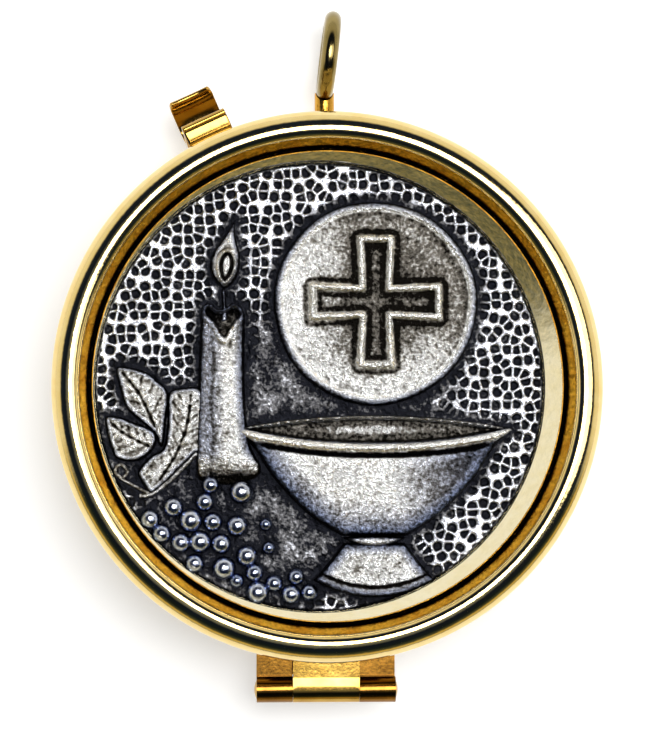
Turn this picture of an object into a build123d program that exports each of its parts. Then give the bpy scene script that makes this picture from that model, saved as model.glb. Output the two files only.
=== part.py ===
from build123d import *
from math import acos, atan2, cos, degrees, hypot, radians, sin
import os

# A round gilt pyx, closed and lying on its back: a shallow cup, a hinged lid with a pewter
# medallion sunk in its top, a sprung catch and a fixed ring for a cord.
# Millimetres and degrees. The table is z = 0, the case's axis is Z, the hinge is at -Y.

# Fits
solder_gap = 0.04          # between pieces that are soldered or cemented together
seam_gap = 0.10            # between the cup's seat and the closed lid
spigot_clearance = 0.25    # round the spigot, inside the lid
knuckle_gap = 0.12         # end play between neighbouring knuckles
pin_press = 0.02           # round the pin in the cup's knuckles
pin_running = 0.05         # round the pin in the lid's knuckle
catch_clearance = 0.10     # between the catch's waist and the nib as it passes
flex_clearance = 0.06      # round the catch's rolled root
cut_over = 3.0             # how far a cutting body runs past what it cuts

# Cup
case_radius = 26.6         # outside of the cup's and the lid's straight walls
sheet = 0.8                # spun cup, floor and wall alike
cup_corner = 2.2           # outside radius where the floor turns up
base_height = 8.7          # table to the seat that the lid closes on

# Ring soldered into the cup's mouth
mouth_height = 1.3         # how much of it shows above the cup's wall
mouth_skirt = 1.0          # how far it reaches down inside the wall
mouth_width = 2.0
spigot_height = 0.7        # raised lip that the lid closes over
spigot_set_in = 1.2        # from the outside wall to the spigot
edge_break = 0.15          # small chamfer on turned edges

# Ring that makes the lid's rim
lid_height = 7.2           # seam to crest
bead_overhang = 0.4        # how far the bead stands out past the wall
bead_outer_arc = 1.6       # radius of the bead outside its crest
bead_inner_arc = 1.0       # radius of the bead inside its crest
spigot_room = 1.0          # depth of the bore that takes the spigot
flange_width = 1.0         # inner flange that the dish lies on
flange_thickness = 0.8

# Cast dish inside the ring
dish_floor = 0.8
recess_wall = 1.5          # from the bead's crease in to the recess, groove and lip together
lip_drop = 0.15            # recess lip below the bead's inner crease
lip_width = 0.24
lip_break = 0.06           # bevels of the lip
groove_depth = 0.55        # groove between the lip and the bead
groove_floor = 0.3         # width of the groove's bottom
cove = 0.35                # bevel from the recess floor to its wall

# Pewter medallion, cemented in against the recess's wall, off its middle
medallion_off_angle = 158  # direction it was pushed in, from +X
medallion_play = 0.65      # how much smaller its radius is than the recess
medallion_thickness = 1.0
medallion_edge = 0.2       # chamfer round its face
cement_thickness = 0.1
cement_set_in = 1.2
sink = 0.3                 # how far a raised figure runs into the ground, to join it

# Heights of the raised figures above the ground, at their crowns and at their sides
host_crown = 0.75
host_side = 0.45
host_rim_width = 0.9       # raised border round the host
host_rim_rise = 0.12
bowl_crown = 1.5
bowl_side = 0.45
bowl_mouth_depth = 0.9
band_rise = 0.18           # raised bands along the bowl's rim and the foot's edge
band_width = 0.8
collar_round = 0.4
candle_crown = 1.2
candle_side = 0.35
candle_hollow_depth = 0.6  # burnt-down top
candle_hollow_drop = 2.2   # how far the hollow's lip dips down the candle
candle_hollow_wall = 0.45
flame_crown = 0.85
flame_side = 0.3
leaf_crown = 0.8
leaf_side = 0.35
leaf_vein_angle = 120      # way the leaves' middle veins run
grape_sink = 0.1           # how far each grape's centre lies above the ground

# Places and outlines of the figures, as shares of the medallion's radius from its centre
host_shares = (0.252, 0.369, 0.450)
bowl_axis_share = 0.239
bowl_tip_half_share, bowl_tip_y_share = 0.621, -0.186
bowl_back_y_share, bowl_front_y_share = -0.127, -0.262
bowl_side_shares = ((0.530, -0.273), (0.436, -0.414), (0.286, -0.568), (0.141, -0.661))
mouth_inset_share = 0.035
collar_shares = (0.150, -0.655, -0.712)
foot_shares = ((0.135, -0.690), (0.200, -0.775), (0.268, -0.855))
foot_bottom_y_share = -0.932
candle_half_share, candle_foot_half_share = 0.102, 0.150
candle_axis_share, candle_top_y_share, candle_foot_y_share = -0.432, 0.377, -0.395
candle_dip_share = 0.085
wick_shares = (-0.424, 0.290, 0.430, 0.012)
flame_left_shares = (
    (-0.427, 0.432), (-0.472, 0.477), (-0.487, 0.535), (-0.472, 0.593), (-0.436, 0.647),
    (-0.403, 0.696), (-0.376, 0.736),
)
flame_right_shares = (
    (-0.427, 0.432), (-0.387, 0.455), (-0.358, 0.508), (-0.353, 0.580), (-0.367, 0.633),
    (-0.376, 0.687), (-0.376, 0.736),
)
upper_leaf_shares = (
    (-0.894, 0.084), (-0.781, 0.068), (-0.722, 0.030), (-0.668, -0.032), (-0.677, -0.153),
    (-0.695, -0.269), (-0.740, -0.202), (-0.811, -0.140), (-0.856, -0.095), (-0.883, -0.010),
)
lower_leaf_shares = (
    (-0.943, -0.135), (-0.883, -0.135), (-0.825, -0.157), (-0.753, -0.184), (-0.718, -0.225),
    (-0.740, -0.287), (-0.807, -0.332), (-0.892, -0.323), (-0.919, -0.278), (-0.941, -0.202),
)
inner_leaf_shares = (
    (-0.668, -0.032), (-0.597, -0.006), (-0.521, -0.019), (-0.512, -0.153), (-0.517, -0.287),
    (-0.550, -0.300), (-0.624, -0.372), (-0.682, -0.430), (-0.742, -0.473), (-0.780, -0.430),
    (-0.802, -0.376), (-0.749, -0.309), (-0.691, -0.269), (-0.673, -0.153),
)
grape_shares = (
    (-0.483, -0.435, 0.034), (-0.347, -0.466, 0.045), (-0.508, -0.510, 0.036),
    (-0.646, -0.533, 0.039), (-0.749, -0.586, 0.039), (-0.570, -0.591, 0.045),
    (-0.472, -0.598, 0.037), (-0.365, -0.615, 0.041), (-0.239, -0.609, 0.025),
    (-0.697, -0.649, 0.038), (-0.613, -0.689, 0.039), (-0.528, -0.685, 0.043),
    (-0.436, -0.694, 0.039), (-0.226, -0.712, 0.025), (-0.322, -0.747, 0.041),
    (-0.552, -0.781, 0.038), (-0.423, -0.801, 0.045), (-0.289, -0.821, 0.035),
    (-0.367, -0.857, 0.029), (-0.202, -0.868, 0.034), (-0.275, -0.908, 0.044),
    (-0.105, -0.839, 0.032), (-0.128, -0.917, 0.038), (-0.047, -0.908, 0.033),
)

# Hinge, two rolled leaves on one pin
pin_radius = 0.7
leaf_thickness = 0.6
hinge_reach = 3.4          # from the case's wall out to the pin
hinge_length = 13.8
lid_knuckle_length = 6.4
curl_slit = 0.12           # where a leaf's curl closes on itself
leaf_flange = 2.2          # soldered flange down the cup's wall
lid_leaf_flange = 0.7      # soldered flange up the lid's wall
leaf_corner = 0.5          # rounding of the flanges' free corners
pin_head_radius = 1.0
pin_head_height = 0.25

# Catch, a bent strip on the lid that snaps past a nib on the cup
catch_angle = 25           # to the left of the ring, about the case's axis
catch_width = 4.6
catch_thickness = 0.55
catch_pivot_reach = 2.3    # from the case's wall out to the strip's upper bend
catch_pivot_drop = 3.7     # from the lid's crest down to that bend
catch_tab_height = 2.0     # soldered part of the strip on the lid's wall
catch_bend = 1.6           # radius of the strip at its waist, on its middle line
catch_waist_drop = 1.1     # from the nib down to the waist
catch_lip_reach = 5.8      # from the case's wall out to the thumb lip
catch_lip_drop = 3.0       # from the nib down to the lip's edge
catch_lip_corner = 0.5
nib_reach = 1.0
nib_thickness = 1.0
nib_width = 3.0
nib_drop = 0.65            # from the seam down to the nib

# Fixed ring and its post
ring_outer_radius = 4.65
ring_wire = 1.7
ring_lean = 6.5            # the ring was soldered on leaning to the right
post_radius = 1.0
post_foot_radius = 1.6
post_foot_height = 1.0
post_foot_edge = 0.15      # straight rim of the foot before it narrows
post_length = 2.7          # from the case's wall to the underside of the ring
ring_drop = 3.8            # from the seam down to the ring's centre

# Heights and radii that follow
seam_z = base_height
lid_bottom_z = base_height + seam_gap
crest_z = lid_bottom_z + lid_height
crease_z = crest_z - bead_inner_arc
flange_top_z = lid_bottom_z + spigot_room + flange_thickness
recess_floor_z = flange_top_z + dish_floor
ground_z = recess_floor_z + cement_thickness + medallion_thickness
crest_radius = case_radius + bead_overhang - bead_outer_arc
crease_radius = crest_radius - bead_inner_arc
recess_radius = crease_radius - recess_wall
spigot_radius = case_radius - spigot_set_in
medallion_radius = recess_radius - medallion_play
medallion_off = medallion_play - solder_gap
medallion_place = Pos(
    medallion_off * cos(radians(medallion_off_angle)),
    medallion_off * sin(radians(medallion_off_angle)),
)
hinge_y = -(case_radius + hinge_reach)
hinge_z = base_height + seam_gap / 2
knuckle_radius = pin_radius + leaf_thickness
nib_z = seam_z - nib_drop
catch_pivot = (case_radius + catch_pivot_reach, crest_z - catch_pivot_drop)
catch_lip = (case_radius + catch_lip_reach, nib_z - catch_lip_drop)
ring_radius = ring_outer_radius - ring_wire / 2
ring_foot_y = case_radius + post_length + ring_wire / 2
ring_z = seam_z - ring_drop


def turned(*edges):
    """A solid of revolution about the case's axis, from edges drawn in radius and height."""
    return revolve(Plane.XZ * make_face(Curve() + list(edges)), Axis.Z)


def outside_case(radius=case_radius + solder_gap):
    """The case's own cylinder, cut out of whatever is soldered to its wall."""
    return Pos(Z=crest_z / 2) * Cylinder(radius, crest_z + cut_over)


def base_cup():
    inner = case_radius - sheet
    turn = case_radius - cup_corner
    top = base_height - mouth_height
    half = sin(radians(45))
    inner_arc = cup_corner - sheet
    return turned(
        Polyline((0, sheet), (0, 0), (turn, 0)),
        ThreePointArc((turn, 0),
                      (turn + cup_corner * half, cup_corner * (1 - half)),
                      (case_radius, cup_corner)),
        Polyline((case_radius, cup_corner), (case_radius, top), (inner, top), (inner, cup_corner)),
        ThreePointArc((inner, cup_corner),
                      (turn + inner_arc * half, cup_corner - inner_arc * half),
                      (turn, sheet)),
        Line((turn, sheet), (0, sheet)),
    )


def base_mouth_ring():
    bore = case_radius - mouth_width
    shoulder = base_height - mouth_height
    skirt = case_radius - sheet - solder_gap
    top = base_height + spigot_height
    return turned(Polyline(
        (bore, shoulder - mouth_skirt),
        (skirt, shoulder - mouth_skirt),
        (skirt, shoulder),
        (case_radius, shoulder),
        (case_radius, seam_z - edge_break),
        (case_radius - edge_break, seam_z),
        (spigot_radius, seam_z),
        (spigot_radius, top - edge_break),
        (spigot_radius - edge_break, top),
        (bore + edge_break, top),
        (bore, top - edge_break),
        (bore, shoulder - mouth_skirt),
    ))


def lid_rim_ring():
    """Turned ring with a full bead; its bore takes the spigot and its flange the dish."""
    bore = spigot_radius + spigot_clearance
    flange_bottom = lid_bottom_z + spigot_room
    equator = crest_z - bead_outer_arc
    neck_fall = (bead_outer_arc**2 - (case_radius - crest_radius) ** 2) ** 0.5
    half = sin(radians(45))
    return turned(
        Polyline((case_radius, equator - neck_fall),
                 (case_radius, lid_bottom_z + edge_break),
                 (case_radius - edge_break, lid_bottom_z),
                 (bore, lid_bottom_z),
                 (bore, flange_bottom),
                 (crease_radius - flange_width, flange_bottom),
                 (crease_radius - flange_width, flange_top_z),
                 (crease_radius, flange_top_z),
                 (crease_radius, crease_z)),
        ThreePointArc((crease_radius, crease_z),
                      (crest_radius - bead_inner_arc * half, crease_z + bead_inner_arc * half),
                      (crest_radius, crest_z)),
        ThreePointArc((crest_radius, crest_z),
                      (crest_radius + bead_outer_arc, equator),
                      (case_radius, equator - neck_fall)),
    )


def lid_dish():
    """Cast dish: a floor, a bevelled wall, a thin lip and a groove beside the bead."""
    outer = crease_radius - solder_gap
    lip_z = crease_z - lip_drop
    lip_outer = recess_radius + lip_width
    groove_middle = (outer + lip_outer) / 2
    return turned(Polyline(
        (0, recess_floor_z),
        (0, flange_top_z),
        (outer, flange_top_z),
        (outer, crease_z),
        (groove_middle + groove_floor / 2, lip_z - groove_depth),
        (groove_middle - groove_floor / 2, lip_z - groove_depth),
        (lip_outer, lip_z - lip_break),
        (lip_outer - lip_break, lip_z),
        (recess_radius + lip_break, lip_z),
        (recess_radius, lip_z - lip_break),
        (recess_radius, recess_floor_z + cove),
        (recess_radius - cove, recess_floor_z),
        (0, recess_floor_z),
    ))


def medallion_cement():
    bed = Cylinder(medallion_radius - cement_set_in, cement_thickness)
    return medallion_place * Pos(Z=recess_floor_z + cement_thickness / 2) * bed


def at_share(x, y):
    """A point on the medallion's ground, from shares of its radius."""
    return (x * medallion_radius, y * medallion_radius)


def figure(outline, crown, side, axis_x, half_width, along=90.0):
    """A raised figure: its outline carried up to a barrel vault that follows its own length."""
    rise = crown - side
    vault_radius = (half_width**2 + rise**2) / (2 * rise)
    length = 2 * medallion_radius + cut_over
    vault = Rot(0, 0, along) * Rot(0, 90, 0) * Cylinder(vault_radius, length)
    vault = Pos(axis_x[0], axis_x[1], crown - vault_radius) * vault
    return Pos(Z=-sink) * extrude(outline, amount=2 * crown + sink, dir=(0, 0, 1)) & vault


def host():
    """A low domed disc with a raised border."""
    x, y, radius = (share * medallion_radius for share in host_shares)
    rise = host_crown - host_side
    dome_radius = (radius**2 + rise**2) / (2 * rise)
    disc = Pos(x, y, host_crown - sink / 2) * Cylinder(radius, 2 * host_crown + sink)
    disc = disc & Pos(x, y, host_crown - dome_radius) * Sphere(dome_radius)
    top = host_side + host_rim_rise
    border = Pos(x, y, (top - sink) / 2) * (
        Cylinder(radius, top + sink) - Cylinder(radius - host_rim_width, top + sink))
    return disc + chamfer(border.edges().group_by(Axis.Z)[-1], host_rim_rise)


def crescent(half, end_y, middle_y, width):
    """A band between two arcs that meet at its ends, widest in its middle."""
    return make_face(Curve() + [
        ThreePointArc((-half, end_y), (0, middle_y), (half, end_y)),
        ThreePointArc((half, end_y), (0, middle_y - width), (-half, end_y)),
    ])


def bowl():
    """The chalice's wide bowl and its rim, its hollow mouth, the collar and the flared foot."""
    x = bowl_axis_share * medallion_radius
    tip_x, tip_y = at_share(bowl_tip_half_share, bowl_tip_y_share)
    back_y = bowl_back_y_share * medallion_radius
    front_y = bowl_front_y_share * medallion_radius
    right = [(tip_x, tip_y)] + [at_share(*share) for share in bowl_side_shares]
    left = [(-px, py) for px, py in right]
    outline = make_face(Curve() + [
        ThreePointArc(left[0], (0, back_y), right[0]),
        Spline(right),
        Line(right[-1], left[-1]),
        Spline(left[::-1]),
    ])
    body = figure(outline, bowl_crown, bowl_side, (0, 0), tip_x)
    inset = mouth_inset_share * medallion_radius
    mouth_half = tip_x - 2 * inset
    mouth = crescent(mouth_half, tip_y, back_y - inset, back_y - front_y - 2 * inset)
    hollow = extrude(mouth, amount=bowl_crown, dir=(0, 0, 1))
    hollow = Pos(Z=bowl_crown - bowl_mouth_depth) * hollow
    rim = crescent(mouth_half, tip_y, front_y + inset, band_width)
    rim = figure(rim, bowl_crown + band_rise, bowl_side, (0, 0), tip_x)
    collar_half, collar_top, collar_bottom = (s * medallion_radius for s in collar_shares)
    collar = Pos(0, (collar_top + collar_bottom) / 2) * RectangleRounded(
        2 * collar_half, collar_top - collar_bottom, collar_round)
    foot_right = [at_share(*share) for share in foot_shares]
    foot_left = [(-px, py) for px, py in foot_right]
    foot_half, foot_y = foot_right[-1]
    foot_bottom_y = foot_bottom_y_share * medallion_radius
    foot_outline = make_face(Curve() + [
        Line(foot_left[0], foot_right[0]),
        Spline(foot_right),
        ThreePointArc(foot_right[-1], (0, foot_bottom_y), foot_left[-1]),
        Spline(foot_left[::-1]),
    ])
    foot = figure(foot_outline, bowl_crown, bowl_side, (0, 0), foot_half)
    edge = crescent(foot_half, foot_y, foot_bottom_y + band_width, band_width)
    edge = figure(edge, bowl_crown + band_rise, bowl_side, (0, 0), foot_half)
    band = figure(collar, bowl_crown, bowl_side, (0, 0), foot_half)
    return Pos(X=x) * (body - hollow + rim + foot + edge + band)


def candle():
    """A candle with a burnt-down hollow top, its wick and its flame."""
    axis = candle_axis_share * medallion_radius
    half = candle_half_share * medallion_radius
    foot_half = candle_foot_half_share * medallion_radius
    top_y = candle_top_y_share * medallion_radius
    foot_y = candle_foot_y_share * medallion_radius
    dip = candle_dip_share * medallion_radius
    stick = make_face(Curve() + [
        Spline((-half, top_y), (-half, (top_y + foot_y) / 2), (-foot_half, foot_y)),
        Line((-foot_half, foot_y), (foot_half, foot_y)),
        Spline((foot_half, foot_y), (half, (top_y + foot_y) / 2), (half, top_y)),
        ThreePointArc((half, top_y), (0, top_y - dip), (-half, top_y)),
    ])
    body = figure(stick, candle_crown, candle_side, (0, 0), foot_half)
    back_y = top_y - dip - candle_hollow_wall
    burnt = crescent(
        half - candle_hollow_wall, top_y - candle_hollow_wall, back_y, candle_hollow_drop)
    burnt = extrude(burnt, amount=candle_crown, dir=(0, 0, 1))
    body -= Pos(Z=candle_crown - candle_hollow_depth) * burnt
    wick_x, wick_low, wick_high, wick_half = (s * medallion_radius for s in wick_shares)
    wick_middle = Pos(wick_x, (wick_low + wick_high) / 2, (flame_side - sink) / 2)
    wick = wick_middle * Box(2 * wick_half, wick_high - wick_low, flame_side + sink)
    flame = two_sided(flame_left_shares, flame_right_shares, flame_crown, flame_side)
    return Pos(X=axis) * body + wick + flame


def leaf(shares, crown, side):
    """One leaf: a closed curve through its lobes under a barrel vault along its length."""
    points = [at_share(*share) for share in shares]
    outline = make_face(Spline(points, periodic=True))
    middle = outline.center()
    widest = max(hypot(x - middle.X, y - middle.Y) for x, y in points)
    return figure(outline, crown, side, (middle.X, middle.Y), widest, leaf_vein_angle)


def two_sided(first_shares, second_shares, crown, side):
    """A flame's shape: two curves from its foot to its tip, vaulted along that line."""
    first = [at_share(*share) for share in first_shares]
    second = [at_share(*share) for share in second_shares]
    outline = make_face(Curve() + [Spline(first), Spline(second)])
    foot, tip = first[0], first[-1]
    along = degrees(atan2(tip[1] - foot[1], tip[0] - foot[0]))
    middle = ((foot[0] + tip[0]) / 2, (foot[1] + tip[1]) / 2)
    widest = max(
        abs((x - foot[0]) * sin(radians(along)) - (y - foot[1]) * cos(radians(along)))
        for x, y in first + second
    )
    return figure(outline, crown, side, middle, widest, along)


def grapes():
    """The grapes, each a ball that stands just over half out of the ground."""
    return [
        Pos(x * medallion_radius, y * medallion_radius, grape_sink) * Sphere(r * medallion_radius)
        for x, y, r in grape_shares
    ]


def medallion():
    plate = Pos(Z=-medallion_thickness / 2) * Cylinder(medallion_radius, medallion_thickness)
    plate = chamfer(plate.edges().group_by(Axis.Z)[-1], medallion_edge)
    plate = chamfer(plate.edges().group_by(Axis.Z)[0], cove - cement_thickness)
    leaves = [
        leaf(shares, leaf_crown, leaf_side)
        for shares in (upper_leaf_shares, lower_leaf_shares, inner_leaf_shares)
    ]
    relief = plate + [host(), bowl(), candle()] + leaves + grapes()
    keep_height = bowl_crown + cut_over
    keep = Pos(Z=keep_height / 2 - medallion_thickness) * Cylinder(medallion_radius, keep_height)
    return medallion_place * Pos(Z=ground_z) * (relief & keep)


def on_hinge(shape):
    """Moves a shape drawn about the hinge's axis to its place."""
    return Pos(0, hinge_y, hinge_z) * shape


def barrel(length, bore):
    """A leaf's rolled edge about the pin's own axis."""
    tube = Cylinder(knuckle_radius, length) - Cylinder(bore, length)
    return Rot(0, 90, 0) * tube


def wall_flange(length, root_z, free_z):
    """A soldered flange that follows the case's wall from its leaf to its rounded free end."""
    shell = Pos(Z=(root_z + free_z) / 2) * Cylinder(
        case_radius + solder_gap + leaf_thickness, abs(free_z - root_z))
    plan = Pos(0, root_z) * RectangleRounded(length, 2 * abs(free_z - root_z), leaf_corner)
    return shell & extrude(Plane.XZ * plan, amount=case_radius + hinge_reach, dir=(0, -1, 0))


def slit(length, side_of_pin):
    """The gap where a curl closes against its own plate, above or below the pin."""
    z = side_of_pin * (pin_radius - curl_slit / 2)
    return Pos(0, knuckle_radius / 2, z) * Box(length, knuckle_radius, curl_slit)


def leaf_plate(length, side_of_pin):
    """A leaf's flat plate, from the pin's height on into the case's wall, still uncut there."""
    reach = hinge_reach + mouth_width
    z = side_of_pin * (pin_radius + leaf_thickness / 2)
    return Pos(0, reach / 2, z) * Box(length, reach, leaf_thickness)


def base_hinge_leaf():
    """Lower leaf: two outer knuckles, a notch for the lid's knuckle and a wall flange."""
    rolled = barrel(hinge_length, pin_radius + pin_press) - slit(hinge_length, -1)
    notch_length = lid_knuckle_length + 2 * knuckle_gap
    notch_reach = knuckle_radius + knuckle_gap
    notch = Box(notch_length, 2 * notch_reach, 2 * notch_reach)
    leaf = on_hinge(rolled + leaf_plate(hinge_length, -1) - notch)
    plate_bottom = hinge_z - knuckle_radius
    flange = wall_flange(hinge_length, plate_bottom + leaf_thickness, plate_bottom - leaf_flange)
    return leaf + flange - outside_case()


def lid_hinge_leaf():
    """Upper leaf: one middle knuckle whose strip runs level to the lid's wall."""
    rolled = barrel(lid_knuckle_length, pin_radius + pin_running) - slit(lid_knuckle_length, 1)
    leaf = on_hinge(rolled + leaf_plate(lid_knuckle_length, 1))
    plate_top = hinge_z + knuckle_radius
    flange = wall_flange(
        lid_knuckle_length, plate_top - leaf_thickness, plate_top + lid_leaf_flange)
    return leaf + flange - outside_case()


def hinge_pin():
    """A straight pin, its two ends peened over into low domes."""
    shaft = Cylinder(pin_radius, hinge_length)
    dome_radius = (pin_head_radius**2 + pin_head_height**2) / (2 * pin_head_height)
    cap = Pos(Z=pin_head_height - dome_radius) * Sphere(dome_radius)
    cap = cap & Pos(Z=pin_head_height / 2) * Cylinder(pin_head_radius, pin_head_height)
    end = Pos(Z=hinge_length / 2) * cap
    return on_hinge(Rot(0, 90, 0) * (shaft + end + Rot(180, 0, 0) * end))


def at_catch(outline, width):
    """A shape drawn in radius and height, as wide as given, turned to the catch's place."""
    face = Plane.XZ * outline
    return Rot(Z=90 + catch_angle) * extrude(face, amount=width / 2, both=True)


def tangent_angle(point, centre, radius, turn):
    """Angle on a circle at which a line from the point touches it, on the side given."""
    dx, dy = point[0] - centre[0], point[1] - centre[1]
    return atan2(dy, dx) + turn * acos(radius / hypot(dx, dy))


def catch_strip(growth=0.0):
    """The strip's side view: down and in to its waist below the nib, then out to the lip."""
    waist = case_radius + nib_reach + catch_clearance + catch_thickness / 2
    centre = (waist + catch_bend, nib_z - catch_waist_drop)
    first = tangent_angle(catch_pivot, centre, catch_bend, 1)
    last = tangent_angle(catch_lip, centre, catch_bend, -1) + radians(360)

    def on_bend(angle):
        return (centre[0] + catch_bend * cos(angle), centre[1] + catch_bend * sin(angle))

    path = Wire([
        Line(catch_pivot, on_bend(first)),
        ThreePointArc(on_bend(first), on_bend((first + last) / 2), on_bend(last)),
        Line(on_bend(last), catch_lip),
    ])
    return make_face(path.offset_2d(catch_thickness / 2 + growth, Kind.ARC, Side.BOTH, closed=True))


def catch_leaf():
    """The strip's free part, rolled at its root and round-cornered at its lip."""
    end = catch_lip[0] + catch_thickness / 2
    length = catch_lip_reach + cut_over
    plan = Pos(end - length / 2, 0) * RectangleRounded(length, catch_width, catch_lip_corner)
    return at_catch(catch_strip(), catch_width) & Rot(Z=90 + catch_angle) * extrude(plan, crest_z)


def catch_tab():
    """The strip's fixed part: a flange on the lid's wall and an arm out to the upper bend."""
    low, high = catch_pivot[1] - catch_thickness / 2, catch_pivot[1] + catch_thickness / 2
    inner = case_radius - catch_thickness
    flange_outer = case_radius + solder_gap + catch_thickness
    outline = make_face(Polyline(
        (inner, high),
        (catch_pivot[0], high),
        (catch_pivot[0], low),
        (flange_outer, low),
        (flange_outer, low - catch_tab_height),
        (inner, low - catch_tab_height),
        (inner, high),
    ))
    arm = outline - catch_strip(flex_clearance)
    return at_catch(arm, catch_width) - outside_case()


def catch_nib():
    """Half-round nib on the cup's mouth ring that the strip's waist snaps past."""
    reach = nib_reach - nib_thickness / 2
    inner = case_radius - nib_thickness
    shank = Pos((inner + case_radius + reach) / 2, nib_z) * Rectangle(
        case_radius + reach - inner, nib_thickness)
    nose = Pos(case_radius + reach, nib_z) * Circle(nib_thickness / 2)
    return at_catch(shank + nose, nib_width) - outside_case()


def leaning_ring(wire):
    """The cord ring, edge on to the case, leaning about its lowest point."""
    torus = Rot(0, 90, 0) * Torus(ring_radius, wire / 2)
    return Pos(0, ring_foot_y, ring_z) * Rot(Z=-ring_lean) * Pos(Y=ring_radius) * torus


def bail_ring():
    return leaning_ring(ring_wire)


def bail_post():
    """Short turned post with a flared foot and a saddle filed for the ring."""
    start = case_radius - sheet
    foot_edge = case_radius + post_foot_edge
    foot_top = case_radius + post_foot_height
    flare = make_face(Curve() + [
        Polyline((0, start), (post_foot_radius, start), (post_foot_radius, foot_edge)),
        RadiusArc((post_foot_radius, foot_edge), (post_radius, foot_top), -post_foot_height),
        Polyline((post_radius, foot_top), (post_radius, ring_foot_y), (0, ring_foot_y),
                 (0, start)),
    ])
    post = Pos(Z=ring_z) * revolve(flare, Axis.Y)
    return post - outside_case() - leaning_ring(ring_wire + 2 * solder_gap)


pieces = {
    "base_cup": base_cup(),
    "base_mouth_ring": base_mouth_ring(),
    "base_hinge_leaf": base_hinge_leaf(),
    "hinge_pin": hinge_pin(),
    "catch_nib": catch_nib(),
    "bail_post": bail_post(),
    "bail_ring": bail_ring(),
    "lid_rim_ring": lid_rim_ring(),
    "lid_dish": lid_dish(),
    "medallion_cement": medallion_cement(),
    "medallion": medallion(),
    "lid_hinge_leaf": lid_hinge_leaf(),
    "catch_tab": catch_tab(),
    "catch_leaf": catch_leaf(),
}

os.makedirs("parts", exist_ok=True)
for name, piece in pieces.items():
    piece.label = name
    export_step(piece, f"parts/{name}.step")
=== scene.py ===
import math
import bpy
import bmesh
import numpy as np
from mathutils import Matrix, Vector, geometry


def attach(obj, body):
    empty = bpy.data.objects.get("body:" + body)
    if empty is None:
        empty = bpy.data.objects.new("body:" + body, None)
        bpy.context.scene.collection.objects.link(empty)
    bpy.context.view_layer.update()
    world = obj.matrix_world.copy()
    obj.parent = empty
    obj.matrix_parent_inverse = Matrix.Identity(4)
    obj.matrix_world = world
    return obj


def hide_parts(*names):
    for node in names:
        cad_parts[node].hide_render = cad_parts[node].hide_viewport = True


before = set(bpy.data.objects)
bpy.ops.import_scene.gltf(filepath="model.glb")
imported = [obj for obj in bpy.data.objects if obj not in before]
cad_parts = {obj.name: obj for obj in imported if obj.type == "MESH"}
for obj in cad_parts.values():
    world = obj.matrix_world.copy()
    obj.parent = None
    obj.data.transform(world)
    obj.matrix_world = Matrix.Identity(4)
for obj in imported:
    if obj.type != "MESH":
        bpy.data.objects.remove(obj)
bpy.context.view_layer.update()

# A round gilt pyx, closed and lying on its back. Sizes in the dictionaries are millimetres.
mm = 0.001
print("frame loaded")


# Small helpers
def hexColour(code):
    # sRGB hex to the linear colour that sockets take
    values = [int(code[i:i + 2], 16) / 255 for i in (1, 3, 5)]
    return [v / 12.92 if v <= 0.04045 else ((v + 0.055) / 1.055) ** 2.4 for v in values] + [1.0]


def plug(tree, node, *values, **links):
    # fills inputs, in order or by name, each with a value, a socket or a node's first output
    named = {s.name.replace(" ", ""): s for s in list(node.inputs)[::-1] if s.enabled}
    pairs = list(zip(node.inputs, values)) + [(named[key], v) for key, v in links.items()]
    for socket, value in pairs:
        if isinstance(value, bpy.types.Node):
            value = next(s for s in value.outputs if s.enabled)
        if isinstance(value, bpy.types.NodeSocket):
            tree.links.new(value, socket)
        else:
            socket.default_value = value


def addNode(tree, kind, settings=None, *values, **links):
    # one node with its properties, its colour stops if it has them, and its inputs
    node = tree.nodes.new(kind)
    for key, value in (settings or {}).items():
        if key == "stops":
            stops = node.color_ramp.elements
            for stop, (position, code) in ((stops[0], value[0]), (stops[1], value[-1])):
                stop.position, stop.color = position, hexColour(code)
            for position, code in value[1:-1]:
                stops.new(position).color = hexColour(code)
        else:
            setattr(node, key, value)
    plug(tree, node, *values, **links)
    return node


def addObject(name, data):
    item = bpy.data.objects.new(name, data)
    bpy.context.scene.collection.objects.link(item)
    return item


def newObject(name, vertices, faces, material):
    mesh = bpy.data.meshes.new(name)
    mesh.from_pydata([tuple(v) for v in vertices], [], faces)
    mesh.validate()
    mesh.polygons.foreach_set("use_smooth", [True] * len(mesh.polygons))
    mesh.materials.append(material)
    return addObject(name, mesh)


def finishPiece(piece, body, slot, *nodes):
    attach(piece, body)
    if nodes:
        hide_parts(*nodes)


def setAttribute(piece, name, values):
    layer = piece.data.attributes.new(name, "FLOAT", "POINT")
    layer.data.foreach_set("value", np.asarray(values, dtype=np.float32))


def withoutModifier(piece, modifier):
    # takes the modifier's result as a plain mesh and drops the modifier
    bpy.context.view_layer.update()
    seen = piece.evaluated_get(bpy.context.evaluated_depsgraph_get())
    mesh = bpy.data.meshes.new_from_object(seen)
    piece.modifiers.remove(modifier)
    piece.data = mesh


def sharpenBy(piece, degreesLimit):
    # edges that turn more than this stay crisp, the rest shade smooth
    work = bmesh.new()
    work.from_mesh(piece.data)
    bmesh.ops.remove_doubles(work, verts=work.verts, dist=1e-7)
    bmesh.ops.recalc_face_normals(work, faces=work.faces)
    for edge in work.edges:
        turn = edge.calc_face_angle(0.0) if len(edge.link_faces) == 2 else math.pi
        edge.smooth = turn < math.radians(degreesLimit)
    for face in work.faces:
        face.smooth = True
    work.to_mesh(piece.data)
    work.free()
    return piece


def band(first, second, count):
    # quads between two loops of points that start at these numbers
    return [(first + k, first + (k + 1) % count, second + (k + 1) % count, second + k)
            for k in range(count)]


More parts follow.
